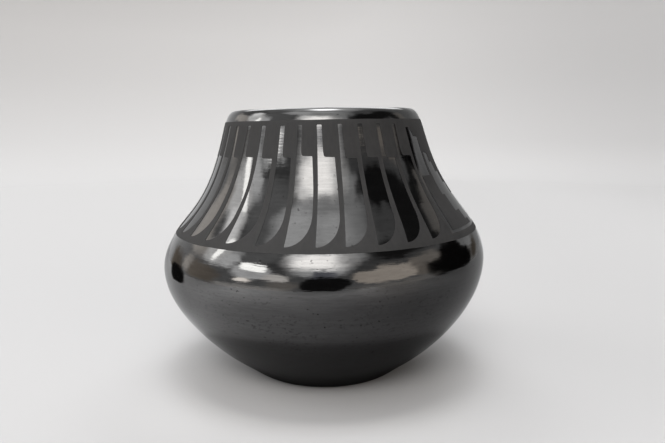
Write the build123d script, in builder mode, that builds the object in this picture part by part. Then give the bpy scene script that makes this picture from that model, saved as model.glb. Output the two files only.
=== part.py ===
"""Hand-built jar of coiled clay with a burnished slip coat and a matte painted band.

Axis of the jar is +Z, the resting face is at z = 0, the front of the jar faces -Y.
All sizes are in millimetres, all angles in degrees.
"""
import math
import os

from build123d import *

# ---------------------------------------------------------------- driving dimensions
FOOT_RADIUS = 34.4         # edge of the flat resting face
SLIP_THICK = 0.4           # burnished coat
PAINT_THICK = 0.2          # matte painted film
WALL_THICK = 5.6           # fired clay wall
FLOOR_Z = 7.0              # inside floor of the jar
SEAM_LAP = 4.5             # how far each coil laps down the inside of the one below
SLIP_EDGE_Z = 0.8          # the coat stops this far above the resting face

# Outside of the finished jar as tangent arcs, from the foot upwards:
# (radius, turn); a positive turn leans the wall towards the axis.
FOOT_ARC = (6.30, 34.29)
LOWER_ARC_1 = (167.98, 9.436)
LOWER_ARC_2 = (86.92, 18.338)
BELLY_ARC = (31.86, 55.364)
SHOULDER_ARC = (35.14, 14.356)
NECK_ARC_1 = (-87.90, 18.615)
NECK_ARC_2 = (-148.56, 9.570)
LIP_ARC = (8.00, 40.0)
CREST_ARC = (2.20, 131.4)
MOUTH_ARC = (50.0, 15.0)
FLOOR_HEADING = 38.0       # slope of the inside wall where it meets the floor's curve

BAND_LOW_Z = 72.42         # lower edge of the painted band
BAND_TOP_Z = 124.38        # upper edge of the painted band
FEATHER_TOP_Z = 122.8      # top of the quill strips, under the upper border line
FEATHER_TIP_Z = 74.8       # feather tips, above the lower border line
QUILL_END_Z = 110.0        # the quill strip widens into the vane here
VANE_BEND_Z = 84.0         # the vane's outer edge starts to turn in here
FEATHER_PITCH = 10.0       # from one feather to the next
FEATHER_WIDTH = 8.2        # across the vane
QUILL_WIDTH = 2.3          # across the quill strip
FEATHERS_PER_FIELD = 14
FIELD_START = -91.5        # first quill of the front field, round from the front

# Seams between the clay pieces: height of each seam on the outside of the wall.
SEAM_HEIGHTS = [17.0, 27.0, 37.5, 48.5, 60.0, 70.0, 79.0, 88.0, 98.0, 108.0, 117.5]
COIL_NAMES = [
    "lower_wall_coil_1", "lower_wall_coil_2", "belly_coil_1", "belly_coil_2",
    "shoulder_coil_1", "shoulder_coil_2", "shoulder_coil_3",
    "neck_coil_1", "neck_coil_2", "neck_coil_3",
]


# ---------------------------------------------------------------- profile helpers
def shifted(r, z, heading, inward):
    """A point of the profile moved square to it, into the clay."""
    h = math.radians(heading)
    return r - math.sin(h) * inward, z + math.cos(h) * inward


def stretch(r, z, heading, radius, turn):
    """Point and heading after following one arc of the profile."""
    swing = turn if radius > 0 else -turn
    h0, h1 = math.radians(heading), math.radians(heading + swing)
    return r + radius * (math.sin(h1) - math.sin(h0)), z - radius * (math.cos(h1) - math.cos(h0)), heading + swing


def trail(r, z, heading, arcs, inward=0.0):
    """Start, middle and end of each arc of a chain, moved into the clay."""
    pieces = []
    for radius, turn in arcs:
        middle = stretch(r, z, heading, radius, turn / 2)
        end = stretch(r, z, heading, radius, turn)
        pieces.append((shifted(r, z, heading, inward), shifted(*middle, inward), shifted(*end, inward)))
        r, z, heading = end
    return pieces


def follow(r, z, heading, arcs):
    for arc in arcs:
        r, z, heading = stretch(r, z, heading, *arc)
    return r, z, heading


WALL = [FOOT_ARC, LOWER_ARC_1, LOWER_ARC_2, BELLY_ARC, SHOULDER_ARC, NECK_ARC_1, NECK_ARC_2]
LIP = [LIP_ARC, CREST_ARC, MOUTH_ARC]
FOOT = (FOOT_RADIUS, 0.0, 0.0)


def wall_at(height):
    """Point and heading of the outside wall at a height."""
    place = FOOT
    for radius, turn in WALL:
        end = stretch(*place, radius, turn)
        if height <= end[1]:
            low, high = 0.0, turn
            for _ in range(60):
                half = (low + high) / 2
                if stretch(*place, radius, half)[1] < height:
                    low = half
                else:
                    high = half
            return stretch(*place, radius, low)
        place = end
    raise ValueError(height)


def seam_line(height):
    """A slanted seam: outer end on the outside of the wall, inner end lapped downwards."""
    r, z, heading = wall_at(height)
    h = math.radians(heading)
    inner_r, inner_z = shifted(r, z, heading, WALL_THICK + SLIP_THICK)
    inner_r, inner_z = inner_r - math.cos(h) * SEAM_LAP, inner_z - math.sin(h) * SEAM_LAP
    dr, dz = r - inner_r, z - inner_z
    return (inner_r - 0.4 * dr, inner_z - 0.4 * dz), (r + 0.4 * dr, z + 0.4 * dz)


def around(azimuth):
    """Upright half-plane from the jar's axis, at an angle round from the front."""
    a = math.radians(azimuth - 90)
    return Plane(origin=(0, 0, 0), x_dir=(math.cos(a), math.sin(a), 0), z_dir=(math.sin(a), -math.cos(a), 0))


SEAMS = [seam_line(h) for h in SEAM_HEIGHTS]
outside = trail(*FOOT, WALL + LIP)
# the clay under the coat; its foot arc starts on the resting face
clay = trail(*FOOT, WALL + LIP, inward=SLIP_THICK)
clay[0] = (FOOT[:2], shifted(*stretch(*FOOT, FOOT_ARC[0], FOOT_ARC[1] / 2), SLIP_THICK / 2), clay[0][2])
JAR_HEIGHT = max(p[1] for piece in outside for p in piece) + 0.5

# inside of the wall: the outside arcs moved in, from the floor's curve up to the neck
lower_start = follow(*FOOT, [FOOT_ARC])
floor_turn = FLOOR_HEADING - lower_start[2]
inside_start = stretch(*lower_start, LOWER_ARC_1[0], floor_turn)
INSIDE_ARCS = [(LOWER_ARC_1[0], LOWER_ARC_1[1] - floor_turn), LOWER_ARC_2, BELLY_ARC, SHOULDER_ARC, NECK_ARC_1]
inside = trail(*inside_start, INSIDE_ARCS, inward=SLIP_THICK + WALL_THICK)
floor_join = inside[0][0]
floor_radius = (floor_join[1] - FLOOR_Z) / (1 - math.cos(math.radians(FLOOR_HEADING)))
floor_edge = floor_join[0] - floor_radius * math.sin(math.radians(FLOOR_HEADING))
floor_middle = stretch(floor_edge, FLOOR_Z, 0.0, floor_radius, FLOOR_HEADING / 2)[:2]

# ---------------------------------------------------------------- clay pieces
os.makedirs("parts", exist_ok=True)

# cross-section of the whole clay wall, from the axis out to the lip: x is radius, y is height
with BuildSketch() as clay_section:
    with BuildLine():
        Line((0, 0), FOOT[:2])
        for piece in clay:
            ThreePointArc(*piece)
        Line(clay[-1][2], inside[-1][2])
        for piece in reversed(inside):
            ThreePointArc(piece[2], piece[1], piece[0])
        ThreePointArc(floor_join, floor_middle, (floor_edge, FLOOR_Z))
        Line((floor_edge, FLOOR_Z), (0, FLOOR_Z))
        Line((0, FLOOR_Z), (0, 0))
    make_face()

# dish-shaped base, up to the first seam
with BuildPart() as base:
    with BuildSketch(Plane.XZ):
        add(clay_section.sketch_local)
        with BuildLine():
            Polyline((0, -2), (SEAMS[0][1][0] + 4, -2), SEAMS[0][1], SEAMS[0][0], (0, SEAMS[0][0][1]), close=True)
        make_face(mode=Mode.INTERSECT)
    revolve(axis=Axis.Z)
base.part.label = "base"
export_step(base.part, "parts/base.step")

# one ring of clay between each pair of seams
for name, below, above in zip(COIL_NAMES, SEAMS, SEAMS[1:]):
    with BuildPart() as coil:
        with BuildSketch(Plane.XZ):
            add(clay_section.sketch_local)
            with BuildLine():
                Polyline(below[0], below[1], above[1], above[0], close=True)
            make_face(mode=Mode.INTERSECT)
        revolve(axis=Axis.Z)
    coil.part.label = name
    export_step(coil.part, f"parts/{name}.step")

# last ring, with the rounded lip
with BuildPart() as rim_coil:
    with BuildSketch(Plane.XZ):
        add(clay_section.sketch_local)
        with BuildLine():
            Polyline(SEAMS[-1][0], SEAMS[-1][1], (60, JAR_HEIGHT + 5), (30, JAR_HEIGHT + 5), close=True)
        make_face(mode=Mode.INTERSECT)
    revolve(axis=Axis.Z)
rim_coil.part.label = "rim_coil"
export_step(rim_coil.part, "parts/rim_coil.step")

# ---------------------------------------------------------------- burnished coat
with BuildPart() as polished_slip:
    with BuildSketch(Plane.XZ):
        with BuildLine():
            for piece in outside:
                ThreePointArc(*piece)
            Line(outside[-1][2], clay[-1][2])
            for piece in reversed(clay):
                ThreePointArc(piece[2], piece[1], piece[0])
        make_face()
        with BuildLine():
            Polyline((30, SLIP_EDGE_Z), (95, SLIP_EDGE_Z), (95, JAR_HEIGHT + 5), (30, JAR_HEIGHT + 5), close=True)
        make_face(mode=Mode.INTERSECT)
    revolve(axis=Axis.Z)
polished_slip.part.label = "polished_slip"
export_step(polished_slip.part, "parts/polished_slip.step")

# ---------------------------------------------------------------- matte painted band
band_start = follow(*FOOT, WALL[:4])
under_film = trail(*band_start, WALL[4:])
over_film = trail(*band_start, WALL[4:], inward=-PAINT_THICK)

# each feather left unpainted, as (start angle, width, lowest and highest point)
FEATHER = [
    (0.0, QUILL_WIDTH, QUILL_END_Z - 1.0, FEATHER_TOP_Z),
    (0.0, FEATHER_WIDTH, VANE_BEND_Z, QUILL_END_Z),
    (0.0, FEATHER_WIDTH - 1.0, VANE_BEND_Z - 4.0, VANE_BEND_Z + 1.0),
    (0.0, FEATHER_WIDTH - 3.0, VANE_BEND_Z - 7.0, VANE_BEND_Z - 3.0),
    (0.0, FEATHER_WIDTH - 5.6, FEATHER_TIP_Z, VANE_BEND_Z - 6.0),
]
# unpainted ground that winds between the two stepped figures of a panel
PANEL = [
    (48.8, 1.6, 75.0, 121.2), (49.5, 3.5, 100.0, 121.2), (49.5, 8.7, 99.3, 117.0), (49.5, 37.1, 75.0, 76.4),
    (60.0, 4.8, 90.2, 110.0), (63.0, 5.5, 83.0, 105.5), (67.5, 5.5, 78.6, 100.5), (71.5, 6.5, 76.0, 95.0),
    (77.0, 8.9, 76.0, 89.5), (85.0, 1.6, 75.0, 121.2),
]

with BuildPart() as matte_paint_band:
    with BuildSketch(Plane.XZ):
        with BuildLine():
            for piece in under_film:
                ThreePointArc(*piece)
            Line(under_film[-1][2], over_film[-1][2])
            for piece in reversed(over_film):
                ThreePointArc(piece[2], piece[1], piece[0])
            Line(over_film[0][0], under_film[0][0])
        make_face()
        with BuildLine():
            Polyline((40, BAND_LOW_Z), (90, BAND_LOW_Z), (90, BAND_TOP_Z), (40, BAND_TOP_Z), close=True)
        make_face(mode=Mode.INTERSECT)
    revolve(axis=Axis.Z)
    for start, width, low, high in FEATHER:
        starts = [FIELD_START + field + FEATHER_PITCH * k + start
                  for field in (0, 180) for k in range(FEATHERS_PER_FIELD)]
        with BuildSketch(*[around(a) for a in starts]):
            with BuildLine():
                Polyline((40, low), (90, low), (90, high), (40, high), close=True)
            make_face()
        revolve(axis=Axis.Z, revolution_arc=width, mode=Mode.SUBTRACT)
    for start, width, low, high in PANEL:
        with BuildSketch(around(start), around(start + 180)):
            with BuildLine():
                Polyline((40, low), (90, low), (90, high), (40, high), close=True)
            make_face()
        revolve(axis=Axis.Z, revolution_arc=width, mode=Mode.SUBTRACT)
matte_paint_band.part.label = "matte_paint_band"
export_step(matte_paint_band.part, "parts/matte_paint_band.step")
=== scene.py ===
import math

import bpy
import numpy as np
from mathutils import Matrix, Vector, geometry, noise


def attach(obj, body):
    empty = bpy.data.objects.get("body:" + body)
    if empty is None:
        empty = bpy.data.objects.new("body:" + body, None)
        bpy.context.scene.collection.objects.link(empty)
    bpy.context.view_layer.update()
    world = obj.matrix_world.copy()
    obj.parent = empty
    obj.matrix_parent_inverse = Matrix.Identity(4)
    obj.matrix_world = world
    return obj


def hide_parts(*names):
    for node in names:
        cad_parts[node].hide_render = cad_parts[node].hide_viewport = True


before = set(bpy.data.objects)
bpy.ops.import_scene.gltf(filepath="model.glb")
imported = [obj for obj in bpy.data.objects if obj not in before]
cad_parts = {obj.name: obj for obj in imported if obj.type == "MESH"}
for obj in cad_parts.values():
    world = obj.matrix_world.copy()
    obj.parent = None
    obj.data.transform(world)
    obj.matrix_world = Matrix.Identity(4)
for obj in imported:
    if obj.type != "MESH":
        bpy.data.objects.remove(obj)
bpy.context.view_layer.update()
MM = 0.001


# ------------------------------------------------------------------ shape of the jar
def smooth_line(xs, ys):
    """Cubic through the points with even curvature; returns value and slope."""
    xs, ys = np.asarray(xs, float), np.asarray(ys, float)
    h = np.diff(xs)
    n = len(xs)
    m = np.zeros((n, n))
    b = np.zeros((n,) + ys.shape[1:])
    m[0, 0] = m[-1, -1] = 1.0
    for i in range(1, n - 1):
        m[i, i - 1], m[i, i], m[i, i + 1] = h[i - 1], 2 * (h[i - 1] + h[i]), h[i]
        b[i] = 6 * ((ys[i + 1] - ys[i]) / h[i] - (ys[i] - ys[i - 1]) / h[i - 1])
    c = np.linalg.solve(m, b)

    def at(t):
        t = np.asarray(t, float)
        k = np.clip(np.searchsorted(xs, t) - 1, 0, n - 2)
        hk = h[k]
        u, v = t - xs[k], xs[k + 1] - t
        if ys.ndim > 1:
            hk, u, v = hk[..., None], u[..., None], v[..., None]
        p = (c[k] * v**3 + c[k + 1] * u**3) / (6 * hk) + (ys[k] / hk - c[k] * hk / 6) * v + (ys[k + 1] / hk - c[k + 1] * hk / 6) * u
        d = (-c[k] * v**2 + c[k + 1] * u**2) / (2 * hk) + (ys[k + 1] - ys[k]) / hk - (c[k + 1] - c[k]) * hk / 6
        return p, d

    return at


# Outside of the jar, foot to lip to the inside of the mouth: radius and height in millimetres.
OUTSIDE = np.array([
    (34.40, 0.00), (35.65, 0.13), (36.85, 0.50), (37.95, 1.10), (42.56, 4.54), (51.90, 11.67), (61.66, 20.74),
    (70.29, 31.11), (76.41, 41.48), (79.55, 51.85), (79.70, 59.63), (77.34, 67.41), (73.75, 73.89), (68.82, 80.37),
    (63.04, 88.15), (57.11, 98.52), (52.50, 110.18), (49.40, 120.55), (48.25, 124.30), (47.05, 127.00),
    (45.42, 129.22), (43.80, 129.98), (42.45, 129.45), (41.75, 128.10), (41.62, 126.40), (42.10, 122.60), (44.43, 114.74),
])
chord = np.r_[0, np.cumsum(np.hypot(*np.diff(OUTSIDE, axis=0).T))]
outline = smooth_line(chord, OUTSIDE)
LIP_T = chord[21]
MOUTH_T = chord[-1]

# height along the outline, for the wall from foot to lip
t_table = np.linspace(0, LIP_T, 4000)
z_table = np.maximum.accumulate(outline(t_table)[0][:, 1])


def t_at(z):
    return np.interp(z, z_table, t_table)


def normal_at(t):
    d = outline(t)[1]
    d = d / np.linalg.norm(d, axis=-1, keepdims=True)
    return np.stack([d[..., 1], -d[..., 0]], -1)


# The jar was made by hand: its axis wanders a little and its circles lean up to the right.
drift_line = smooth_line(np.linspace(0, 129.7, 11), [0.0, -0.19, -0.30, -0.56, -0.57, 0.01, 0.80, 0.62, -0.10, -0.60, -1.20])


def by_hand(p):
    p = np.array(p, float)
    z = np.clip(p[:, 2], 0, 130.5)
    k = np.clip(z / 64.8, 0, 1)
    p[:, 0] += drift_line(z)[0]
    p[:, 2] += 0.017 * k * k * (3 - 2 * k) * p[:, 0]
    return p


def hand_waves(p):
    """Shallow unevenness left by scraping and rubbing, in millimetres."""
    out = np.empty(len(p))
    for i, (x, y, z) in enumerate(p):
        v = Vector((x, y, z))
        out[i] = (0.065 * noise.noise(Vector((x * 0.035, y * 0.035, z * 0.055)))
                  + 0.030 * noise.noise(Vector((x * 0.085 + 7, y * 0.085, z * 0.15)))
                  + 0.010 * noise.noise(Vector((x * 0.16 + 3, y * 0.16, z * 0.36 + 5))))
    return out


def ring_points(azimuth, radius, height):
    return np.stack([radius * np.sin(azimuth), -radius * np.cos(azimuth), height], -1)


def make_piece(name, verts, faces, material, uv=None, sharp=None):
    mesh = bpy.data.meshes.new(name)
    mesh.from_pydata((np.asarray(verts) * MM).tolist(), [], faces)
    mesh.polygons.foreach_set("use_smooth", np.ones(len(mesh.polygons), bool))
    if uv is not None:
        layer = mesh.uv_layers.new(name="OFBake")
        layer.data.foreach_set("uv", np.asarray(uv, np.float32).ravel())
    if sharp is not None and len(sharp):
        pairs = {tuple(sorted(e)) for e in sharp}
        marks = np.array([tuple(sorted(e.vertices)) in pairs for e in mesh.edges])
        mesh.attributes.new("sharp_edge", "BOOLEAN", "EDGE").data.foreach_set("value", marks)
    mesh.update()
    obj = bpy.data.objects.new(name, mesh)
    bpy.context.scene.collection.objects.link(obj)
    mesh.materials.append(material)
    return obj


def lathe(name, loop, steps, material, wave=None, closed=True, rows_uv=None):
    """A ring turned from a closed loop of (radius, height, out_r, out_z) points, then given its hand-made shape."""
    loop = np.asarray(loop, float)
    m = len(loop)
    az = np.arange(steps) * 2 * math.pi / steps
    a, k = np.meshgrid(az, np.arange(m), indexing="ij")
    base = ring_points(a.ravel(), loop[k.ravel(), 0], loop[k.ravel(), 1])
    if wave is not None:
        push = wave(base, k.ravel())
        out = ring_points(a.ravel(), loop[k.ravel(), 2], loop[k.ravel(), 3])
        base = base + out * push[:, None]
    verts = by_hand(base)
    faces, uv = [], []
    last = m if closed else m - 1
    lengths = np.r_[0, np.cumsum(np.hypot(*np.diff(np.vstack([loop[:, :2], loop[:1, :2]]), axis=0).T))]
    lengths /= lengths[-1]
    rows = rows_uv or 2
    for i in range(steps):
        j = (i + 1) % steps
        row = i * rows // steps
        u0 = i * rows / steps - row
        u1 = (i + 1) * rows / steps - row
        for q in range(last):
            w = (q + 1) % m
            faces.append((i * m + q, j * m + q, j * m + w, i * m + w))
            v0, v1 = (row + 0.01 + 0.98 * lengths[q]) / rows, (row + 0.01 + 0.98 * lengths[q + 1]) / rows
            uv += [(u0, v0), (u1, v0), (u1, v1), (u0, v1)]
    return make_piece(name, verts, faces, material, uv)


# ------------------------------------------------------------------ materials
def new_material(name):
    mat = bpy.data.materials.new(name)
    mat.use_nodes = True
    tree = mat.node_tree
    bsdf = next(n for n in tree.nodes if n.type == "BSDF_PRINCIPLED")
    return mat, tree, bsdf


def node(tree, kind, **values):
    n = tree.nodes.new(kind)
    for key, value in values.items():
        if key.startswith("_"):
            setattr(n, key[1:], value)
        else:
            n.inputs[key.replace("__", " ")].default_value = value
    return n


def stretched(tree, scale, shift=(0, 0, 0)):
    coords = tree.nodes.new("ShaderNodeTexCoord")
    mapping = node(tree, "ShaderNodeMapping", Scale=scale, Location=shift)
    tree.links.new(coords.outputs["Object"], mapping.inputs["Vector"])
    return mapping.outputs["Vector"]


def noise_of(tree, vector, scale, detail=3.0, rough=0.55):
    n = node(tree, "ShaderNodeTexNoise", Scale=scale, Detail=detail, Roughness=rough)
    tree.links.new(vector, n.inputs["Vector"])
    return n.outputs["Fac"]


def ranged(tree, value, a, b, c, d, smooth=False):
    n = tree.nodes.new("ShaderNodeMapRange")
    n.interpolation_type = "SMOOTHSTEP" if smooth else "LINEAR"
    tree.links.new(value, n.inputs["Value"])
    for key, v in zip(("From Min", "From Max", "To Min", "To Max"), (a, b, c, d)):
        n.inputs[key].default_value = v
    return n.outputs["Result"]


def maths(tree, op, a, b=None):
    n = tree.nodes.new("ShaderNodeMath")
    n.operation = op
    for i, v in enumerate((a, b)):
        if v is None:
            continue
        if isinstance(v, (int, float)):
            n.inputs[i].default_value = v
        else:
            tree.links.new(v, n.inputs[i])
    return n.outputs[0]


def tinted(tree, fac, low, high):
    n = tree.nodes.new("ShaderNodeMix")
    n.data_type = "RGBA"
    tree.links.new(fac, n.inputs["Factor"])
    n.inputs["A"].default_value = (*low, 1)
    n.inputs["B"].default_value = (*high, 1)
    return n.outputs["Result"]


def bumped(tree, bsdf, height, strength, distance, normal=None):
    n = node(tree, "ShaderNodeBump", Strength=strength, Distance=distance)
    tree.links.new(height, n.inputs["Height"])
    if normal is not None:
        tree.links.new(normal, n.inputs["Normal"])
    tree.links.new(n.outputs["Normal"], bsdf.inputs["Normal"])
    return n.outputs["Normal"]


def burnished_slip():
    """Carbon-blackened slip rubbed to a shine with a stone: long level strokes, clouding and fine pits."""
    mat, tree, bsdf = new_material("burnished_slip")
    bsdf.inputs["IOR"].default_value = 1.68
    strokes = noise_of(tree, stretched(tree, (170, 170, 1250)), 1.0, 2.0, 0.6)
    lines = noise_of(tree, stretched(tree, (24, 24, 800), (2, 6, 1)), 1.0, 2.0, 0.6)
    broad = noise_of(tree, stretched(tree, (42, 42, 150), (3, 1, 2)), 1.0, 3.0, 0.6)
    cloud = noise_of(tree, stretched(tree, (34, 34, 60), (1, 4, 2)), 1.0, 4.0, 0.6)
    grain = noise_of(tree, stretched(tree, (620, 620, 1150), (6, 3, 9)), 1.0, 2.0, 0.6)
    pits = noise_of(tree, stretched(tree, (560, 560, 800), (5, 2, 8)), 1.0, 1.0, 0.4)
    pit = ranged(tree, pits, 0.732, 0.760, 0.0, 1.0, True)
    tree.links.new(tinted(tree, cloud, (0.0005, 0.0005, 0.0006), (0.0014, 0.0013, 0.0013)), bsdf.inputs["Base Color"])
    # rubbed strokes shine a little more or less; grains and pits shine less, mostly low on the body
    place = tree.nodes.new("ShaderNodeSeparateXYZ")
    tree.links.new(stretched(tree, (1, 1, 1)), place.inputs[0])
    low = ranged(tree, place.outputs[2], 0.046, 0.064, 1.0, 0.22, True)
    dull = maths(tree, "MULTIPLY", ranged(tree, grain, 0.55, 0.70, 0.0, 0.52, True), ranged(tree, broad, 0.40, 0.58, 0.15, 1.0, True))
    dull = maths(tree, "MULTIPLY", dull, low)
    pit = maths(tree, "MULTIPLY", pit, ranged(tree, low, 0.22, 1.0, 0.6, 1.0))
    sheen = maths(tree, "ADD", maths(tree, "MULTIPLY", strokes, 0.4), maths(tree, "ADD", maths(tree, "MULTIPLY", lines, 0.25), maths(tree, "MULTIPLY", broad, 0.35)))
    sheen = maths(tree, "SUBTRACT", ranged(tree, sheen, 0.38, 0.62, 0.76, 1.0), dull)
    sheen = maths(tree, "MULTIPLY", sheen, ranged(tree, pit, 0.0, 1.0, 1.0, 0.08))
    tree.links.new(tinted(tree, sheen, (0.0, 0.0, 0.0), (1.0, 1.0, 1.0)), bsdf.inputs["Specular Tint"])
    rough = maths(tree, "ADD", ranged(tree, strokes, 0.3, 0.7, -0.02, 0.03), ranged(tree, cloud, 0.3, 0.7, 0.050, 0.095))
    rough = maths(tree, "ADD", rough, ranged(tree, broad, 0.35, 0.7, -0.015, 0.03))
    tree.links.new(rough, bsdf.inputs["Roughness"])
    height = maths(tree, "ADD", maths(tree, "MULTIPLY", strokes, 0.3), maths(tree, "ADD", broad, maths(tree, "MULTIPLY", lines, 0.3)))
    height = maths(tree, "MULTIPLY", height, ranged(tree, place.outputs[2], 0.064, 0.084, 1.0, 0.62, True))
    bumped(tree, bsdf, height, 0.9, 0.00006)
    return mat


def matte_paint():
    """Unpolished slip brushed on: dry, dark grey, faintly streaked, with a fine tooth."""
    mat, tree, bsdf = new_material("matte_paint")
    bsdf.inputs["IOR"].default_value = 1.27
    cloud = noise_of(tree, stretched(tree, (55, 55, 70), (2, 2, 1)), 1.0, 4.0, 0.6)
    brush = noise_of(tree, stretched(tree, (900, 900, 60), (1, 7, 1)), 1.0, 2.0, 0.5)
    tooth = noise_of(tree, stretched(tree, (2600, 2600, 2600)), 1.0, 3.0, 0.6)
    shade = maths(tree, "ADD", maths(tree, "MULTIPLY", cloud, 0.6), maths(tree, "MULTIPLY", brush, 0.4))
    tone = tinted(tree, ranged(tree, shade, 0.34, 0.66, 0.0, 1.0), (0.0090, 0.0090, 0.0094), (0.0175, 0.0172, 0.0174))
    tree.links.new(tone, bsdf.inputs["Base Color"])
    tree.links.new(ranged(tree, shade, 0.3, 0.7, 0.62, 0.74), bsdf.inputs["Roughness"])
    height = maths(tree, "ADD", maths(tree, "MULTIPLY", brush, 0.6), tooth)
    bumped(tree, bsdf, height, 0.35, 0.00006)
    return mat


def fired_clay():
    """Scraped, smoke-blackened clay: dull, clouded, gritty with tiny mica-grey grains."""
    mat, tree, bsdf = new_material("fired_clay")
    bsdf.inputs["IOR"].default_value = 1.4
    cloud = noise_of(tree, stretched(tree, (28, 28, 34)), 1.0, 5.0, 0.62)
    scrape = noise_of(tree, stretched(tree, (34, 34, 620), (4, 2, 1)), 1.0, 3.0, 0.55)
    grit = noise_of(tree, stretched(tree, (1500, 1500, 1500), (8, 1, 3)), 1.0, 2.0, 0.5)
    speck = ranged(tree, grit, 0.68, 0.74, 0.0, 1.0, True)
    shade = maths(tree, "ADD", maths(tree, "MULTIPLY", cloud, 0.7), maths(tree, "MULTIPLY", scrape, 0.3))
    tone = tinted(tree, ranged(tree, shade, 0.35, 0.65, 0.0, 1.0), (0.017, 0.0165, 0.016), (0.036, 0.034, 0.032))
    mixed = tree.nodes.new("ShaderNodeMix")
    mixed.data_type = "RGBA"
    tree.links.new(maths(tree, "MULTIPLY", speck, 0.6), mixed.inputs["Factor"])
    tree.links.new(tone, mixed.inputs["A"])
    mixed.inputs["B"].default_value = (0.09, 0.085, 0.08, 1)
    tree.links.new(mixed.outputs["Result"], bsdf.inputs["Base Color"])
    tree.links.new(ranged(tree, shade, 0.3, 0.7, 0.70, 0.86), bsdf.inputs["Roughness"])
    height = maths(tree, "ADD", scrape, maths(tree, "MULTIPLY", grit, 0.5))
    bumped(tree, bsdf, height, 0.5, 0.00012)
    return mat


SLIP = burnished_slip()
PAINT = matte_paint()
CLAY = fired_clay()

# ------------------------------------------------------------------ burnished coat
COAT = 0.4
START_T = float(t_at(0.85))


def spaced(knots, counts):
    rows = [np.linspace(a, b, n, endpoint=False) for a, b, n in zip(knots, knots[1:], counts)]
    return np.r_[np.concatenate(rows), knots[-1]]


rows_t = spaced([START_T, chord[4], chord[18], chord[20], chord[23], MOUTH_T], [6, 118, 10, 16, 10])
p_out = outline(rows_t)[0]
n_out = normal_at(rows_t)
rows_in = spaced([START_T, chord[4], chord[18], chord[20], chord[23], MOUTH_T], [2, 24, 5, 8, 4])[::-1]
p_in = outline(rows_in)[0] - normal_at(rows_in) * COAT
coat_loop = np.vstack([
    np.hstack([p_out, n_out]),
    np.hstack([p_in, np.zeros_like(p_in)]),
])
outer_rows = len(p_out)


def coat_wave(base, k):
    push = np.zeros(len(base))
    sel = k < outer_rows
    push[sel] = hand_waves(base[sel])
    return push


coat = lathe("polished_slip_coat", coat_loop, 400, SLIP, coat_wave)
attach(coat, "root")
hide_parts("polished_slip")

# ------------------------------------------------------------------ painted band
BAND_LOW, BAND_TOP = 72.42, 124.75
TIP_Z, QUILL_TOP = 74.75, 122.75
# One feather: its left edge from the top of the quill down to the tip, its right edge from the
# shoulder of the vane down to the bend (degrees round the jar), quill width and shoulder height.
FRONT_FIELD = [
    (-91.4, -92.7, -93.8, -94.4, -83.9, -85.0, -86.0, 2.3, 109.0),
    (-81.7, -83.0, -84.1, -84.9, -74.0, -75.3, -76.2, 2.2, 108.9),
    (-71.8, -73.1, -74.2, -75.1, -64.1, -65.3, -66.4, 2.3, 109.2),
    (-61.9, -63.2, -64.3, -65.2, -54.3, -55.4, -56.4, 2.4, 108.8),
    (-51.7, -53.1, -54.6, -55.0, -44.8, -46.0, -46.7, 2.1, 109.0),
    (-41.8, -43.4, -44.2, -44.4, -34.7, -34.9, -36.0, 2.1, 109.3),
    (-32.0, -33.2, -34.2, -34.4, -24.0, -24.3, -24.7, 2.5, 108.8),
    (-21.0, -21.8, -22.3, -22.6, -14.6, -14.6, -14.9, 2.4, 109.2),
    (-11.9, -12.4, -12.8, -12.8, -4.7, -4.4, -4.6, 2.1, 109.8),
    (-2.4, -2.5, -2.9, -2.8, 5.5, 5.6, 5.3, 2.5, 109.3),
    (8.0, 7.7, 6.9, 6.5, 15.7, 15.75, 15.3, 2.25, 108.6),
    (18.05, 17.75, 17.2, 17.0, 26.2, 26.2, 25.7, 2.5, 108.6),
    (28.5, 28.3, 27.9, 27.4, 35.8, 36.2, 36.1, 2.25, 108.3),
    (38.75, 38.25, 38.0, 37.8, 46.8, 47.0, 46.7, 2.1, 108.8),
]
# Polished ground of the stepped panel, winding between the two stepped figures.
FRONT_PANEL = [
    (48.8, 121.0), (52.4, 121.0), (54.4, 117.0), (58.4, 116.6), (58.4, 99.3), (50.7, 99.3), (50.7, 76.3),
    (71.4, 76.3), (71.4, 78.4), (67.5, 78.4), (67.5, 82.8), (62.9, 82.8), (62.9, 90.2), (60.3, 90.2),
    (60.3, 110.0), (64.9, 108.6), (64.9, 104.9), (68.4, 104.9), (68.4, 100.2), (72.8, 100.2), (72.8, 94.8),
    (77.8, 94.8), (77.8, 89.3), (84.9, 89.3), (84.9, 121.0), (86.5, 121.0), (86.5, 75.1), (48.8, 75.1),
]


def edge_line(az, zs):
    return smooth_line(zs[::-1], az[::-1])


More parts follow.
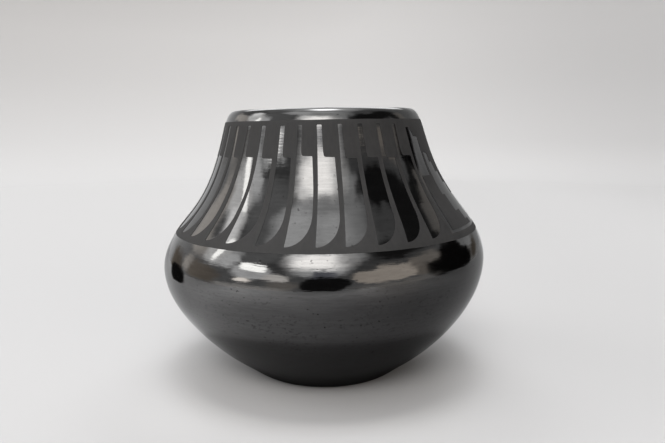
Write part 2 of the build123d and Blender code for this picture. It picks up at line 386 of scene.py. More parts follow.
def feather(row, seed):
    lt, lm, ll, tip, rt, rm, rl, quill, zb = row
    left = edge_line((lt, lm, ll, tip), (QUILL_TOP, 97.0, 84.5, TIP_Z))
    bend = 86.6
    right = edge_line((rt, rm, rl), (zb, 97.0, bend))
    top = QUILL_TOP + 0.25 * noise.noise(Vector((seed, 0.3, 4.1)))
    pts = []
    a0 = float(left(top)[0])
    pts += [(a0 + 0.22, top), (a0 + quill - 0.25, top), (a0 + quill, top - 0.3)]
    for z in np.linspace(top - 1.0, zb + 1.1, 14):
        flare = 0.25 * max(0.0, (zb + 5.0 - z) / 4.0) ** 2
        pts.append((float(left(z)[0]) + quill + flare, z))
    corner = float(left(zb + 1.1)[0]) + quill + 0.25
    pts += [(corner + 0.10, zb + 0.62), (corner + 0.32, zb + 0.25), (corner + 0.75, zb + 0.05)]
    for k in np.linspace(0.15, 0.93, 7):
        pts.append((corner + 0.75 + (rt - corner - 0.75) * k, zb - 0.12 * k))
    pts += [(rt - 0.12, zb - 0.15), (rt, zb - 0.45)]
    for z in np.linspace(zb - 1.2, bend, 26):
        pts.append((float(right(z)[0]), z))
    for f in np.linspace(0, 90, 22)[1:-1]:
        f = math.radians(f)
        pts.append((tip + (rl - tip) * math.cos(f), bend - (bend - TIP_Z) * math.sin(f)))
    pts.append((tip + 0.08, TIP_Z))
    for z in np.linspace(TIP_Z + 0.3, top - 0.35, 44):
        pts.append((float(left(z)[0]), z))
    return pts


def panel(outline_pts, turn):
    pts = []
    n = len(outline_pts)
    for i in range(n):
        (a0, z0), (a1, z1) = outline_pts[i], outline_pts[(i + 1) % n]
        length = math.hypot((a1 - a0) * 1.05, z1 - z0)
        steps = max(1, int(length / 0.9))
        for k in range(steps):
            pts.append((a0 + (a1 - a0) * k / steps + turn, z0 + (z1 - z0) * k / steps))
    return pts


def wobble(pts, seed, amount=0.055):
    """Slight unsteadiness of a brush line."""
    out = []
    for a, z in pts:
        s, c = math.sin(math.radians(a)), math.cos(math.radians(a))
        p = Vector((s * 14 + seed * 1.7, c * 14, z * 0.22))
        q = Vector((s * 60 + seed, c * 60, z * 0.9))
        out.append((a + amount * 0.9 * (noise.noise(p) + 0.4 * noise.noise(q)),
                    z + amount * 0.8 * (noise.noise(p + Vector((9, 9, 9))) + 0.4 * noise.noise(q + Vector((5, 5, 5))))))
    return out


holes = []
for i, row in enumerate(FRONT_FIELD):
    holes.append(wobble(feather(row, i), i))
for i, row in enumerate(FRONT_FIELD):
    # the field on the other side: the same hand, not the same strokes
    n1 = 0.35 * noise.noise(Vector((i * 1.3, 2.2, 0.4)))
    n2 = 0.35 * noise.noise(Vector((i * 1.1, 7.2, 3.4)))
    start = 88.5 + 10.0 * i + n1
    lean = -0.5 + 0.8 * noise.noise(Vector((0.21 * i, 4.4, 1.9)))
    other = (start, start + 0.45 * lean, start + 0.9 * lean, start + 1.0 * lean,
             start + 7.75 + n2, start + 7.75 + n2 + 0.45 * lean, start + 7.4 + n2 + 0.9 * lean,
             2.3 + 0.5 * n2, 109.0 + 0.9 * n1)
    holes.append(wobble(feather(other, i + 40), i + 40))
holes.append(wobble(panel(FRONT_PANEL, 0.0), 81, 0.07))
holes.append(wobble(panel(FRONT_PANEL, 180.0), 82, 0.07))

LINE = math.radians(1) * 62.0        # millimetres per degree, near enough for laying out the film
SEAM_A = 87.45                       # a stroke between panel and feathers, where the drawing starts and ends
SEAM_A -= 360.0


def wrapped(pts):
    mid = sum(a for a, _ in pts) / len(pts)
    turn = -360.0 * math.floor((mid - SEAM_A) / 360.0)
    return [(a + turn, z) for a, z in pts]


holes = [wrapped(h) for h in holes]


def border(a, z, amount):
    s, c = math.sin(math.radians(a)), math.cos(math.radians(a))
    return z + amount * (noise.noise(Vector((s * 5, c * 5, z))) + 0.35 * noise.noise(Vector((s * 23, c * 23, z))))


steps_round = 480
ring = [SEAM_A + 360.0 * i / steps_round for i in range(steps_round + 1)]
low_edge = [(a, border(a, BAND_LOW, 0.16)) for a in ring]
top_edge = [(a, border(a, BAND_TOP, 0.13)) for a in ring]
side_z = np.linspace(low_edge[0][1], top_edge[0][1], 27)[1:-1]
side = [(SEAM_A, float(z)) for z in side_z]
far_side = [(SEAM_A + 360.0, float(z)) for z in side_z]

pts2, edges2 = [], []


def add_chain(chain, closed):
    first = len(pts2)
    pts2.extend(chain)
    edges2.extend((first + i, first + i + 1) for i in range(len(chain) - 1))
    if closed:
        edges2.append((first + len(chain) - 1, first))


add_chain(low_edge + far_side + top_edge[::-1] + side[::-1], True)
for h in holes:
    add_chain(h, True)
hole_arrays = [np.array(h) for h in holes]
hole_boxes = [(h.min(0), h.max(0)) for h in hole_arrays]


def in_hole(points):
    """True where a point lies in one of the unpainted shapes."""
    hit = np.zeros(len(points), bool)
    for h, (lo, hi) in zip(hole_arrays, hole_boxes):
        near = np.where(((points >= lo) & (points <= hi)).all(1))[0]
        if not len(near):
            continue
        x, y = points[near, 0], points[near, 1]
        x0, y0 = h[:, 0], h[:, 1]
        x1, y1 = np.roll(x0, -1), np.roll(y0, -1)
        cross = ((y0[None] > y[:, None]) != (y1[None] > y[:, None]))
        with np.errstate(divide="ignore", invalid="ignore"):
            at_x = x0[None] + (y[:, None] - y0[None]) * (x1 - x0)[None] / (y1 - y0)[None]
        hit[near] |= (np.sum(cross & (x[:, None] < at_x), axis=1) % 2).astype(bool)
    return hit


inner = np.array([(SEAM_A + 1.0 * i + 0.5 * (j % 2), BAND_LOW + 0.9 + 1.25 * j) for i in range(1, 360) for j in range(41)])
inner = inner[~in_hole(inner)]
fixed = np.array(pts2)
scale2 = np.array([LINE, 1.0])
keep = np.ones(len(inner), bool)
for start in range(0, len(inner), 500):
    part = inner[start:start + 500]
    d = np.linalg.norm((part[:, None] - fixed[None]) * scale2, axis=-1).min(1)
    keep[start:start + 500] = d > 0.55
pts2.extend(map(tuple, inner[keep]))

flat = [Vector((a * LINE, z)) for a, z in pts2]
v2, _, f2, _, _, _ = geometry.delaunay_2d_cdt(flat, edges2, [], 0, 1e-5)
v2 = np.array([(v.x / LINE, v.y) for v in v2])
tris = np.array([f for f in f2 if len(f) == 3])
tris = tris[~in_hole(v2[tris].mean(1))]
# drop what lies outside the wavering borders
mid = v2[tris].mean(1)
low_at = np.interp(mid[:, 0], [a for a, _ in low_edge], [z for _, z in low_edge])
top_at = np.interp(mid[:, 0], [a for a, _ in top_edge], [z for _, z in top_edge])
tris = tris[(mid[:, 1] > low_at) & (mid[:, 1] < top_at)]
# join the end of the drawing to its start
join = np.arange(len(v2))
ends = np.where(v2[:, 0] > SEAM_A + 360.0 - 1e-4)[0]
starts = np.where(v2[:, 0] < SEAM_A + 1e-4)[0]
for e in ends:
    join[e] = starts[np.argmin(abs(v2[starts, 1] - v2[e, 1]))]
tri_corner_a = v2[tris][:, :, 0]
tris_joined = join[tris]
used = np.unique(tris_joined)
small = np.full(len(v2), -1)
small[used] = np.arange(len(used))
tris_joined = small[tris_joined]
v2u = v2[used]
area = np.cross(v2[tris][:, 1] - v2[tris][:, 0], v2[tris][:, 2] - v2[tris][:, 0])
flip = area < 0
tris_joined[flip] = tris_joined[flip][:, ::-1]
tri_corner_a[flip] = tri_corner_a[flip][:, ::-1]

PAINT_UP, PAINT_DOWN = 0.11, -0.06
t_film = t_at(v2u[:, 1])
p_film = outline(t_film)[0]
n_film = normal_at(t_film)
az_film = np.radians(v2u[:, 0])
on_wall = ring_points(az_film, p_film[:, 0], p_film[:, 1])
off_wall = ring_points(az_film, n_film[:, 0], n_film[:, 1])
wave_film = hand_waves(on_wall)
thick = np.array([0.022 * noise.noise(Vector((x * 0.3, y * 0.3, z * 0.3))) for x, y, z in on_wall])
upper = by_hand(on_wall + off_wall * (wave_film + PAINT_UP + thick)[:, None])
under = by_hand(on_wall + off_wall * (wave_film + PAINT_DOWN)[:, None])
n_top = len(upper)
edge_use = {}
for f in tris_joined.tolist():
    for a, b in zip(f, f[1:] + f[:1]):
        edge_use.setdefault((min(a, b), max(a, b)), []).append((a, b))
rim_edges = [use[0] for use in edge_use.values() if len(use) == 1]
film_faces = tris_joined.tolist() + (tris_joined[:, ::-1] + n_top).tolist() + [(b, a, a + n_top, b + n_top) for a, b in rim_edges]

film_uv = []
for k, f in enumerate(tris_joined.tolist()):
    turn = (tri_corner_a[k].mean() - SEAM_A) / 90.0
    row = min(3, max(0, int(turn)))
    for c in range(3):
        film_uv.append((0.01 + 0.98 * ((tri_corner_a[k][c] - SEAM_A) / 90.0 - row + 0.02) / 1.04,
                        (row + 0.02 + 0.94 * (v2u[f[c], 1] - 71.5) / 54.0) / 4.0 * 0.96))
under_uv = [(0.0 + 0.2 * u, 0.97 + 0.02 * v) for u, v in film_uv]
film_uv += under_uv[::-1]
film_uv += [(0.3, 0.985)] * (4 * len(rim_edges))
sharp = rim_edges + [(a + n_top, b + n_top) for a, b in rim_edges]
film = make_piece("matte_paint_film", np.vstack([upper, under]), film_faces, PAINT, film_uv, sharp)
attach(film, "root")
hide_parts("matte_paint_band")

# ------------------------------------------------------------------ clay pieces under the coat
WALL = 6.0
LAP = 4.5
FLOOR = 7.0
seam_z = [17.0, 27.0, 37.5, 48.5, 60.0, 70.0, 79.0, 88.0, 98.0, 108.0, 117.5]
names = ["lower_wall_coil_1", "lower_wall_coil_2", "belly_coil_1", "belly_coil_2", "shoulder_coil_1",
         "shoulder_coil_2", "shoulder_coil_3", "neck_coil_1", "neck_coil_2", "neck_coil_3"]

# inside of the wall, from the middle of the floor up to the end of the coat in the mouth
inner_t = np.linspace(float(t_at(11.5)), float(t_at(107.0)), 60)
inner_wall = outline(inner_t)[0] - normal_at(inner_t) * WALL
mouth_end = outline(MOUTH_T)[0] - normal_at(np.array([MOUTH_T]))[0] * COAT
floor_pts = np.array([(0.0, FLOOR), (10.0, FLOOR + 0.05), (20.0, FLOOR + 0.3), (29.0, FLOOR + 1.3), (37.0, FLOOR + 3.1)])
inner_path = np.vstack([floor_pts, inner_wall[inner_wall[:, 0] > 42.0], mouth_end[None]])
inner_s = np.r_[0, np.cumsum(np.hypot(*np.diff(inner_path, axis=0).T))]
inside_line = smooth_line(inner_s, inner_path)


def inside_near(point):
    s = np.linspace(0, inner_s[-1], 3000)
    d = np.linalg.norm(inside_line(s)[0] - point, axis=1)
    return float(s[np.argmin(d)])


def seam_ends(z):
    t = float(t_at(z))
    p, d = outline(np.array([t]))
    p, d = p[0], d[0] / np.linalg.norm(d[0])
    n = normal_at(np.array([t]))[0]
    outer = p - n * COAT
    s = inside_near(p - n * WALL - d * LAP)
    return t, outer, s


def wall_line(t0, t1, count):
    t = np.linspace(t0, t1, count)
    return outline(t)[0] - normal_at(t) * COAT


def inner_line(s0, s1, count, bulge):
    s = np.linspace(s0, s1, count)
    p, d = inside_line(s)
    d = d / np.linalg.norm(d, axis=1, keepdims=True)
    inward = np.stack([-d[:, 1], d[:, 0]], 1)
    u = (s - s0) / (s1 - s0)
    p = p + inward * (bulge * np.sin(np.pi * u)[:, None])
    return p, inward


def seam_cut(a, b, count):
    k = np.linspace(0, 1, count + 2)[1:-1, None]
    return a + (b - a) * k


def inner_wave(start, count):
    def wave(base, k):
        push = np.zeros(len(base))
        sel = (k > start) & (k < start + count - 1)
        b = base[sel]
        push[sel] = [0.34 * noise.noise(Vector((x * 0.05, y * 0.05, z * 0.05)))
                     + 0.16 * noise.noise(Vector((x * 0.13 + 4, y * 0.13, z * 0.30)))
                     + 0.05 * noise.noise(Vector((x * 0.3 + 4, y * 0.3, z * 0.9))) for x, y, z in b]
        return push
    return wave


def clay_ring(name, lower, upper_seam, bulge):
    t0, o0, s0 = lower
    t1, o1, s1 = upper_seam
    outer = wall_line(t0, t1, 9)
    inner, inward = inner_line(s1, s0, 17, bulge)
    inner[:] = inner
    loop = np.vstack([outer, seam_cut(o1, inner[0], 2), inner, seam_cut(inner[-1], o0, 2)])
    outs = np.vstack([np.zeros((len(outer) + 2, 2)), -inward * -1.0, np.zeros((2, 2))])
    start = len(outer) + 2
    ring_obj = lathe(name + "_clay", np.hstack([loop, outs]), 180, CLAY, inner_wave(start, len(inner)))
    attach(ring_obj, "root")
    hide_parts(name)
    return ring_obj


seams = [seam_ends(z) for z in seam_z]
for i, name in enumerate(names):
    clay_ring(name, seams[i], seams[i + 1], 0.30)

# rim: last coil, with the lip under the coat
t0, o0, s0 = seams[-1]
outer = np.vstack([wall_line(t0, chord[18], 6)[:-1], wall_line(chord[18], chord[23], 18)[:-1], wall_line(chord[23], MOUTH_T, 6)])
inner, inward = inner_line(inner_s[-1], s0, 9, 0.0)
loop = np.vstack([outer, inner[1:], seam_cut(inner[-1], o0, 2)])
outs = np.vstack([np.zeros((len(outer), 2)), inward[1:], np.zeros((2, 2))])
rim = lathe("rim_coil_clay", np.hstack([loop, outs]), 180, CLAY, inner_wave(len(outer), len(inner) - 1))
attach(rim, "root")
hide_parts("rim_coil")


# base: dish with the flat resting face
def dish(name, lower_loop, material, waves, steps=180):
    """Turned dish whose first and last loop points lie on the axis."""
    loop = np.asarray(lower_loop, float)
    m = len(loop) - 2
    az = np.arange(steps) * 2 * math.pi / steps
    a, k = np.meshgrid(az, np.arange(1, m + 1), indexing="ij")
    pts = ring_points(a.ravel(), loop[k.ravel(), 0], loop[k.ravel(), 1])
    push = waves(pts, k.ravel())
    pts = pts + ring_points(a.ravel(), loop[k.ravel(), 2], loop[k.ravel(), 3]) * push[:, None]
    ends = np.array([(0, 0, loop[0, 1]), (0, 0, loop[-1, 1])])
    verts = by_hand(np.vstack([pts, ends]))
    bottom, top = len(pts), len(pts) + 1
    lengths = np.r_[0, np.cumsum(np.hypot(*np.diff(loop[:, :2], axis=0).T))]
    lengths /= lengths[-1]
    faces, uv = [], []
    for i in range(steps):
        j = (i + 1) % steps
        u0, u1 = i / steps, (i + 1) / steps
        faces.append((bottom, j * m, i * m))
        uv += [(u0, 0.0), (u1, lengths[1]), (u0, lengths[1])]
        for q in range(m - 1):
            faces.append((i * m + q, j * m + q, j * m + q + 1, i * m + q + 1))
            uv += [(u0, lengths[q + 1]), (u1, lengths[q + 1]), (u1, lengths[q + 2]), (u0, lengths[q + 2])]
        faces.append((i * m + m - 1, j * m + m - 1, top))
        uv += [(u0, lengths[-2]), (u1, lengths[-2]), (u0, 1.0)]
    return make_piece(name, verts, faces, material, uv)


t1, o1, s1 = seams[0]
bottom_line = np.array([(0.0, 0.0), (8.0, 0.0), (17.0, 0.0), (26.0, 0.0), (32.0, 0.0), (34.0, 0.0)])
foot_t = np.linspace(0.0, float(t_at(1.2)), 7)
foot_depth = np.clip(np.linspace(0, 1, 7) * 1.6, 0, 1) * COAT
foot_line = outline(foot_t)[0] - normal_at(foot_t) * foot_depth[:, None]
base_outer = np.vstack([bottom_line, foot_line, wall_line(float(t_at(1.2)), t1, 10)[1:]])
base_inner, base_in = inner_line(s1, 0.0, 26, 0.0)
loop = np.vstack([base_outer, seam_cut(o1, base_inner[0], 2), base_inner])
outs = np.vstack([np.zeros((len(base_outer) + 2, 2)), base_in])
start = len(base_outer) + 2
base_obj = dish("base_clay", np.hstack([loop, outs]), CLAY, inner_wave(start, len(base_inner) - 3))
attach(base_obj, "root")
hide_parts("base")


# ------------------------------------------------------------------ floor, backdrop and light
def stage_material(name, tone, spread, rough, shine):
    mat, tree, bsdf = new_material(name)
    cloud = noise_of(tree, stretched(tree, (3.0, 3.0, 3.0)), 1.0, 2.0, 0.5)
    grain = noise_of(tree, stretched(tree, (700, 700, 700)), 1.0, 2.0, 0.5)
    shade = maths(tree, "ADD", maths(tree, "MULTIPLY", cloud, 0.7), maths(tree, "MULTIPLY", grain, 0.3))
    tree.links.new(tinted(tree, shade, tuple(c * (1 - spread) for c in tone), tuple(c * (1 + spread) for c in tone)),
                   bsdf.inputs["Base Color"])
    bsdf.inputs["Roughness"].default_value = rough
    bsdf.inputs["Specular IOR Level"].default_value = shine
    return mat


FLOOR_TONE = (0.3045, 0.3045, 0.3075)
FLOOR_R, SWEEP_R = 1.15, 0.75


def disc(name, radii, material):
    steps = 128
    verts = [(0, 0, radii[0][1])] if radii[0][0] == 0 else []
    first = len(verts)
    rings = [r for r in radii if r[0] > 0]
    for r, z in rings:
        verts += [(r * math.cos(2 * math.pi * i / steps), r * math.sin(2 * math.pi * i / steps), z) for i in range(steps)]
    faces = []
    if first:
        faces += [(0, first + i, first + (i + 1) % steps) for i in range(steps)]
    for k in range(len(rings) - 1):
        a, b = first + k * steps, first + (k + 1) * steps
        faces += [(a + i, b + i, b + (i + 1) % steps, a + (i + 1) % steps) for i in range(steps)]
    mesh = bpy.data.meshes.new(name)
    mesh.from_pydata(verts, [], faces)
    mesh.polygons.foreach_set("use_smooth", np.ones(len(mesh.polygons), bool))
    mesh.materials.append(material)
    obj = bpy.data.objects.new(name, mesh)
    bpy.context.scene.collection.objects.link(obj)
    return obj


def only_for(obj, *kinds):
    """Leave the object visible to these kinds of ray only."""
    for kind in ("camera", "diffuse", "glossy", "transmission", "shadow"):
        setattr(obj, "visible_" + kind, kind in kinds)


paper = stage_material("pale_paper", FLOOR_TONE, 0.012, 0.9, 0.1)
satin = stage_material("satin_paper", FLOOR_TONE, 0.012, 0.45, 0.3)


def stage_parts(mat):
    tree = mat.node_tree
    split = tree.nodes.new("ShaderNodeSeparateXYZ")
    tree.links.new(stretched(tree, (1, 1, 1)), split.inputs[0])
    return tree, next(n for n in tree.nodes if n.type == "BSDF_PRINCIPLED"), split.outputs


# the paper's colour is darkened a little to the right: painted shade for light falling off
pt, pt_bsdf, pt_at = stage_parts(paper)
pt_painted_falloff = maths(pt, "ADD", ranged(pt, pt_at[0], 0.0, 0.25, 0.0, 0.07, True), ranged(pt, pt_at[0], 0.35, 0.75, 0.0, 0.08, True))
# painted light: the paper is a little paler just outside the front of the belly, lightening the outer edge of the jar's
# shadow
pt_r = maths(pt, "SQRT", maths(pt, "ADD", maths(pt, "MULTIPLY", pt_at[0], pt_at[0]), maths(pt, "MULTIPLY", pt_at[1], pt_at[1])))
pt_a = maths(pt, "MULTIPLY", maths(pt, "ARCTAN2", pt_at[0], maths(pt, "MULTIPLY", pt_at[1], -1.0)), 180 / math.pi)
pt_painted_lift = maths(pt, "MULTIPLY", ranged(pt, pt_r, 0.067, 0.0765, 0.0, 1.0, True), ranged(pt, pt_r, 0.0765, 0.12, 0.145, 0.0, True))
pt_painted_lift = maths(pt, "MULTIPLY", pt_painted_lift, ranged(pt, maths(pt, "ABSOLUTE", maths(pt, "ADD", pt_a, 8.0)), 22, 75, 1.0, 0.0, True))
pt_keep = maths(pt, "MULTIPLY", maths(pt, "SUBTRACT", 1.0, pt_painted_falloff), maths(pt, "ADD", pt_painted_lift, 0.855))
pt.links.new(tinted(pt, maths(pt, "SUBTRACT", 1.0, pt_keep), tuple(v / 0.855 for v in FLOOR_TONE), (0.0, 0.0, 0.0)), pt_bsdf.inputs["Base Color"])
# floor seen only in the polish, with painted shade and light in its colour: it darkens towards the foot (a painted
# contact shadow) and is brightest at the front left
st, st_bsdf, st_at = stage_parts(satin)
st_x, st_y = st_at[0], st_at[1]
st_r = maths(st, "SQRT", maths(st, "ADD", maths(st, "MULTIPLY", st_x, st_x), maths(st, "MULTIPLY", st_y, st_y)))
st_a = maths(st, "MULTIPLY", maths(st, "ARCTAN2", st_x, maths(st, "MULTIPLY", st_y, -1.0)), 180 / math.pi)
# painted shadow round the foot: the colour ramps from dark at the foot to pale further out
fade = st.nodes.new("ShaderNodeValToRGB")
fade.color_ramp.elements[0].position, fade.color_ramp.elements[0].color = 0.036 / 0.3, (0.10, 0.10, 0.10, 1)
fade.color_ramp.elements[1].position, fade.color_ramp.elements[1].color = 1.0, (0.95, 0.95, 0.95, 1)
for r, v in ((0.040, 0.14), (0.047, 0.25), (0.055, 0.33), (0.0675, 0.37), (0.0735, 0.42), (0.080, 0.72), (0.087, 0.82), (0.096, 0.86), (0.12, 0.84), (0.2, 0.88)):
    fade.color_ramp.elements.new(r / 0.3).color = (v, v, v, 1)
st.links.new(ranged(st, st_r, 0.0, 0.3, 0.0, 1.0), fade.inputs["Fac"])


def lobe(az, width, near, far, amount):
    """Painted light or shade round one direction on the floor's colour, growing with distance."""
    off = maths(st, "ABSOLUTE", maths(st, "SUBTRACT", st_a, az))
    grow = maths(st, "MULTIPLY", ranged(st, off, 0.0, width, 1.0, 0.0, True), ranged(st, st_r, near, far, 0.0, amount, True))
    return maths(st, "ADD", grow, 1.0)


# painted light on the mirrored floor: brighter towards the front left, with painted lobes of light at front left and
# front right and painted shade straight ahead further out
st_painted_tone = maths(st, "MULTIPLY", fade.outputs["Color"], ranged(st, maths(st, "ADD", st_x, maths(st, "MULTIPLY", st_y, 0.8)), -0.27, 0.07, 1.9, 0.5, True))
for args in ((-52, 44, 0.10, 0.35, 0.75), (56, 52, 0.085, 0.32, 0.95), (2, 26, 0.35, 0.7, -0.35)):
    st_painted_tone = maths(st, "MULTIPLY", st_painted_tone, lobe(*args))
# painted shade: the mirrored floor is darker far out on the left
st_painted_shade_left = maths(st, "MULTIPLY", ranged(st, st_a, -92, -66, 0.24, 0.0, True), ranged(st, st_r, 0.075, 0.12, 0.0, 1.0, True))
st_painted_tone = maths(st, "MULTIPLY", st_painted_tone, maths(st, "SUBTRACT", 1.0, st_painted_shade_left))
# painted light: the mirrored floor is paler close to the foot on the left
st_painted_light_near = maths(st, "MULTIPLY", ranged(st, st_a, -95, -25, 0.38, 0.0, True), ranged(st, st_r, 0.070, 0.085, 1.0, 0.0, True))
st_painted_tone = maths(st, "MULTIPLY", st_painted_tone, maths(st, "ADD", st_painted_light_near, 1.0))
# painted light: the mirrored floor is paler behind the jar
st_painted_light_rear = maths(st, "MULTIPLY", ranged(st, maths(st, "ABSOLUTE", st_a), 134, 176, 0.0, 1.3, True), ranged(st, st_r, 0.05, 0.12, 0.4, 1.0, True))
st_painted_tone = maths(st, "MULTIPLY", st_painted_tone, maths(st, "ADD", st_painted_light_rear, 1.0))
st_mix = st.nodes.new("ShaderNodeMix")
st_mix.data_type = "RGBA"
st.links.new(st_painted_tone, st_mix.inputs["Factor"])
st_mix.clamp_factor = False
st_mix.inputs["A"].default_value = (0, 0, 0, 1)
st_mix.inputs["B"].default_value = (0.313, 0.315, 0.321, 1)
st.links.new(st_mix.outputs["Result"], st_bsdf.inputs["Base Color"])
flat_rings = [(0, 0.0), (0.1, 0.0), (0.3, 0.0), (0.7, 0.0), (FLOOR_R, 0.0)]
floor = disc("floor", flat_rings, paper)
only_for(floor, "camera", "diffuse", "transmission", "shadow")
shine = disc("floor_shine", [(r, 0.0001) for r, _ in flat_rings], satin)
only_for(shine, "glossy")
sweep = [(FLOOR_R + SWEEP_R * math.sin(a), SWEEP_R * (1 - math.cos(a))) for a in np.linspace(0, math.pi / 2, 24)]
sweep += [(FLOOR_R + SWEEP_R, SWEEP_R + 0.35)]
sheet = stage_material("pale_backdrop", FLOOR_TONE, 0.012, 0.9, 0.1)
bt, bt_bsdf, bt_at = stage_parts(sheet)
# painted shade: the backdrop's colour darkens towards the right, less so near floor level and higher up
bt_painted_shade = maths(bt, "SUBTRACT", ranged(bt, bt_at[0], -0.1, 1.0, 0.055, 0.30, True),
               maths(bt, "ADD", maths(bt, "MULTIPLY", ranged(bt, bt_at[2], 0.0, 0.1, 1.0, 0.0, True), maths(bt, "ADD", ranged(bt, bt_at[0], 0.0, 0.6, 0.022, 0.075, True), ranged(bt, bt_at[0], -1.05, -0.65, 0.03, 0.0, True))),
                     ranged(bt, bt_at[2], 0.25, 0.55, 0.0, 0.09, True)))
bt.links.new(tinted(bt, bt_painted_shade, FLOOR_TONE, (0.0, 0.0, 0.0)), bt_bsdf.inputs["Base Color"])
backdrop = disc("backdrop", sweep, sheet)
only_for(backdrop, "camera")

# softboxes and a dark card near the jar, seen only as reflections
def softbox(name, at, towards, half_w, half_h, strength):
    """Card with soft edges facing a point, glowing or, at almost no strength, dark."""
    glow, tree, bsdf = new_material(name)
    tree.nodes.remove(bsdf)
    xyz = tree.nodes.new("ShaderNodeSeparateXYZ")
    tree.links.new(stretched(tree, (1 / half_w, 1 / half_h, 1)), xyz.inputs[0])
    reach = maths(tree, "ADD", maths(tree, "POWER", maths(tree, "ABSOLUTE", xyz.outputs[0]), 3.0),
                  maths(tree, "POWER", maths(tree, "ABSOLUTE", xyz.outputs[1]), 3.0))
    mix = tree.nodes.new("ShaderNodeMixShader")
    tree.links.new(ranged(tree, reach, 0.45, 1.15, 1.0, 0.0, True), mix.inputs["Fac"])
    tree.links.new(tree.nodes.new("ShaderNodeBsdfTransparent").outputs[0], mix.inputs[1])
    tree.links.new(node(tree, "ShaderNodeEmission", Color=(1.0, 0.99, 0.96, 1), Strength=strength).outputs[0], mix.inputs[2])
    tree.links.new(mix.outputs[0], next(n for n in tree.nodes if n.type == "OUTPUT_MATERIAL").inputs["Surface"])
    w, h = 1.1 * half_w, 1.1 * half_h
    mesh = bpy.data.meshes.new(name)
    mesh.from_pydata([(-w, -h, 0), (w, -h, 0), (w, h, 0), (-w, h, 0)], [], [(0, 1, 2, 3)])
    mesh.materials.append(glow)
    obj = bpy.data.objects.new(name, mesh)
    bpy.context.scene.collection.objects.link(obj)
    at = Vector(at)
    obj.matrix_world = Matrix.Translation(at) @ (Vector(towards) - at).to_track_quat("Z", "Y").to_matrix().to_4x4()
    only_for(obj, "glossy")


softbox("softbox_front_left", (-0.348, -0.297, 0.290), (-0.037, -0.070, 0.065), 0.090, 0.034, 16.0)
softbox("softbox_left", (-0.300, -0.055, 0.240), (-0.055, -0.035, 0.090), 0.017, 0.064, 12.5)
softbox("dark_card", (-0.256, 0.065, 0.032), (-0.213, 0.052, 0.032), 0.050, 0.040, 0.012)

world = bpy.data.worlds.new("studio")
bpy.context.scene.world = world
world.use_nodes = True
wt = world.node_tree
background = next(n for n in wt.nodes if n.type == "BACKGROUND")
coords = wt.nodes.new("ShaderNodeTexCoord")
split = wt.nodes.new("ShaderNodeSeparateXYZ")
wt.links.new(coords.outputs["Generated"], split.inputs[0])
az_w = maths(wt, "MULTIPLY", maths(wt, "ARCTAN2", split.outputs[0], maths(wt, "MULTIPLY", split.outputs[1], -1.0)), 180 / math.pi)
el_w = maths(wt, "MULTIPLY", maths(wt, "ARCSINE", split.outputs[2]), 180 / math.pi)
el_p = el_w
# edges of the panels are not ruler-straight
for size, amount in ((5.0, 2.6), (17.0, 1.5), (48.0, 0.9)):
    waver = node(wt, "ShaderNodeTexNoise", Scale=size, Detail=3.0, Roughness=0.55)
    wt.links.new(coords.outputs["Generated"], waver.inputs["Vector"])
    waver_rgb = wt.nodes.new("ShaderNodeSeparateColor")
    wt.links.new(waver.outputs["Color"], waver_rgb.inputs[0])
    az_w = maths(wt, "ADD", az_w, ranged(wt, waver_rgb.outputs[0], 0.3, 0.7, -amount, amount))
    el_p = maths(wt, "ADD", el_p, ranged(wt, waver_rgb.outputs[1], 0.3, 0.7, -0.7 * amount, 0.7 * amount))
# broad tone of the studio, floor level to ceiling
tone = wt.nodes.new("ShaderNodeValToRGB")
ramp = tone.color_ramp
ramp.elements[0].position, ramp.elements[0].color = 0.0, (0.70, 0.70, 0.70, 1)
ramp.elements[1].position, ramp.elements[1].color = 1.0, (20.0, 20.0, 20.0, 1)
for pos, v in ((0.5, 0.80), (0.60, 0.72), (0.68, 0.42), (0.80, 0.50), (0.833, 0.75), (0.867, 1.5), (0.90, 2.3), (0.928, 3.2), (0.942, 6.0), (0.958, 14.0)):
    e = ramp.elements.new(pos)
    e.color = (v, v, v * 1.005, 1)
wt.links.new(ranged(wt, el_w, -90, 90, 0, 1), tone.inputs["Fac"])
colour = tone.outputs["Color"]


def patch(colour, az, el, half_az, half_el, soft, value, power=3.0):
    """A soft-edged panel of light or shade at a direction round the jar (degrees)."""
    off_a = maths(wt, "DIVIDE", maths(wt, "ABSOLUTE", maths(wt, "SUBTRACT", az_w, az)), half_az)
    off_e = maths(wt, "DIVIDE", maths(wt, "ABSOLUTE", maths(wt, "SUBTRACT", el_p, el)), half_el)
    reach = maths(wt, "POWER", maths(wt, "ADD", maths(wt, "POWER", off_a, power), maths(wt, "POWER", off_e, power)), 1.0 / power)
    edge = soft / min(half_az, half_el)
    mask = ranged(wt, reach, 1.0 - edge, 1.0 + edge, 1.0, 0.0, True)
    n = wt.nodes.new("ShaderNodeMix")
    n.data_type = "RGBA"
    wt.links.new(mask, n.inputs["Factor"])
    wt.links.new(colour, n.inputs["A"])
    n.inputs["B"].default_value = (*value, 1)
    return n.outputs["Result"]


def grey(v, warm=0.0):
    return (v * (1 + warm), v, v * (1 - warm))


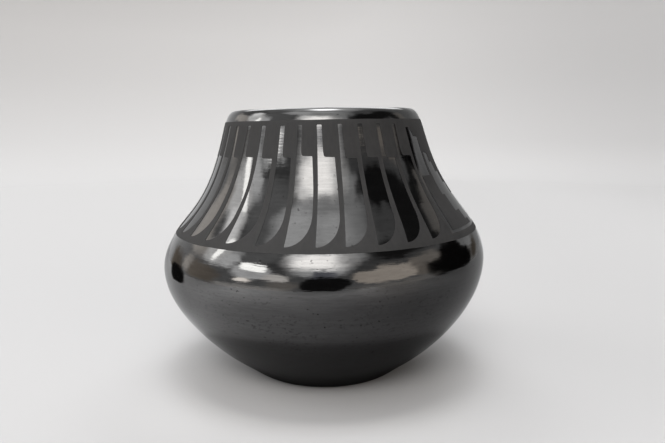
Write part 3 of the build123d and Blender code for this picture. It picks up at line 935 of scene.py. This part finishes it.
PATCHES = [
    # az, el, half az, half el, soft, tone
    (-12, 60, 60, 8, 4, grey(2.5)),             # high softbox over the front
    (-43, 62, 24, 6.5, 4, grey(4.0)),
    (5, 66, 22, 4, 3, grey(3.7)),
    (82, 58, 29, 6, 3, grey(0.45)),             # dim ceiling, right
    (-95, 58, 22, 8, 4, grey(0.85)),
    (-64, 44, 24, 9, 2.5, grey(1.02)),          # dim gap, upper left
    (75, 43, 37, 10, 2.0, grey(0.04)),          # dark flag, upper right
    (74, 53, 9, 4, 1.5, grey(0.5)),
    (28, 49.5, 7, 8.5, 3, grey(2.2)),
    (-93, 31, 13, 10, 3, grey(4.2, 0.01)),      # tall softbox, left
    (-100, 40, 9, 5, 2.5, grey(6.2, 0.01)),
    (-76, 30, 6, 8, 2.5, grey(4.4)),
    (-116, 24, 14, 6, 2.5, grey(1.8, 0.07)),
    (-53, 23.2, 16, 6.5, 1.5, grey(4.2)),         # softbox, front left
    (-57, 12.5, 5.5, 3.6, 1.0, grey(9.0, 0.08)),
    (-33, 19, 8, 5, 1.8, grey(5.0, 0.05)),
    (-4, 30, 17.5, 5.5, 3, grey(4.2)),
    (-5.5, 42.5, 24.5, 10, 4.5, grey(8.0, 0.02)),   # main softbox, front
    (-18, 48, 15, 4.5, 2.5, grey(9.0, 0.02)),
    (-8.5, 42, 16, 8.5, 3.5, grey(13.5, 0.03)),
    (-1, 25, 9, 6.5, 2.0, (0.95, 0.98, 1.12), 2.2),
    (44, 17, 24, 10.5, 0.9, grey(2.9, 0.13)),   # warm reflector, right
    (70, 12, 6, 8.5, 1.6, grey(0.95, 0.12)),
    (72, 23, 10, 4.8, 1.8, grey(1.2, 0.12)),
    (137, 27, 18, 14, 5, grey(0.40)),
    (112, 29, 8, 7, 2.5, grey(0.60, 0.07)),
    (150, 5, 18, 11, 4, grey(0.38)),
    (98, 5, 23.5, 9.5, 0.6, grey(0.0)),         # black flag, right
    (94, 17, 19.5, 7.8, 0.6, grey(0.0)),
    (102.5, 30, 4, 7, 1.2, grey(0.05)),
    (81, 22.5, 9, 4.3, 1.6, grey(1.15, 0.1)),
    (0, 9, 17, 14.5, 0.9, grey(0.035), 2.3),    # black card, front
    (-28, 6, 9, 8, 3, grey(1.25, 0.08)),
    (-52, -2, 26, 5.5, 2.2, grey(2.4, 0.04)),
    (48, -2, 26, 5, 3, grey(1.25, 0.06)),
    (-92, 8, 16, 9, 2.5, grey(0.68, 0.16)),     # brown reflector, left
    (-111, 9, 4.5, 6, 2, grey(1.7, 0.08)),
    (-125, 2, 10, 7, 2.5, grey(0.28, 0.18)),
    (129, 2, 8, 5, 2.0, grey(0.14, 0.18)),
    (161, 45, 20, 14, 4, grey(4.5)),            # softboxes behind
    (-161, 45, 20, 14, 4, grey(4.5)),
]
for p in PATCHES:
    colour = patch(colour, *p)
wt.links.new(colour, background.inputs["Color"])
background.inputs["Strength"].default_value = 1.0

# ------------------------------------------------------------------ camera
cam_data = bpy.data.cameras.new("camera")
cam_data.sensor_width = 36.0
cam_data.lens = 36.0 * 598.04 / 665.0
cam_data.clip_start = 0.01
cam = bpy.data.objects.new("camera", cam_data)
cam.location = (3.78 * MM, -303.55 * MM, 120.96 * MM)
cam.rotation_euler = (math.pi / 2 - 0.154, 0.0, 0.0)
bpy.context.scene.collection.objects.link(cam)
bpy.context.scene.camera = cam
bpy.context.scene.view_settings.view_transform = "Standard"
bpy.context.scene.view_settings.look = "None"
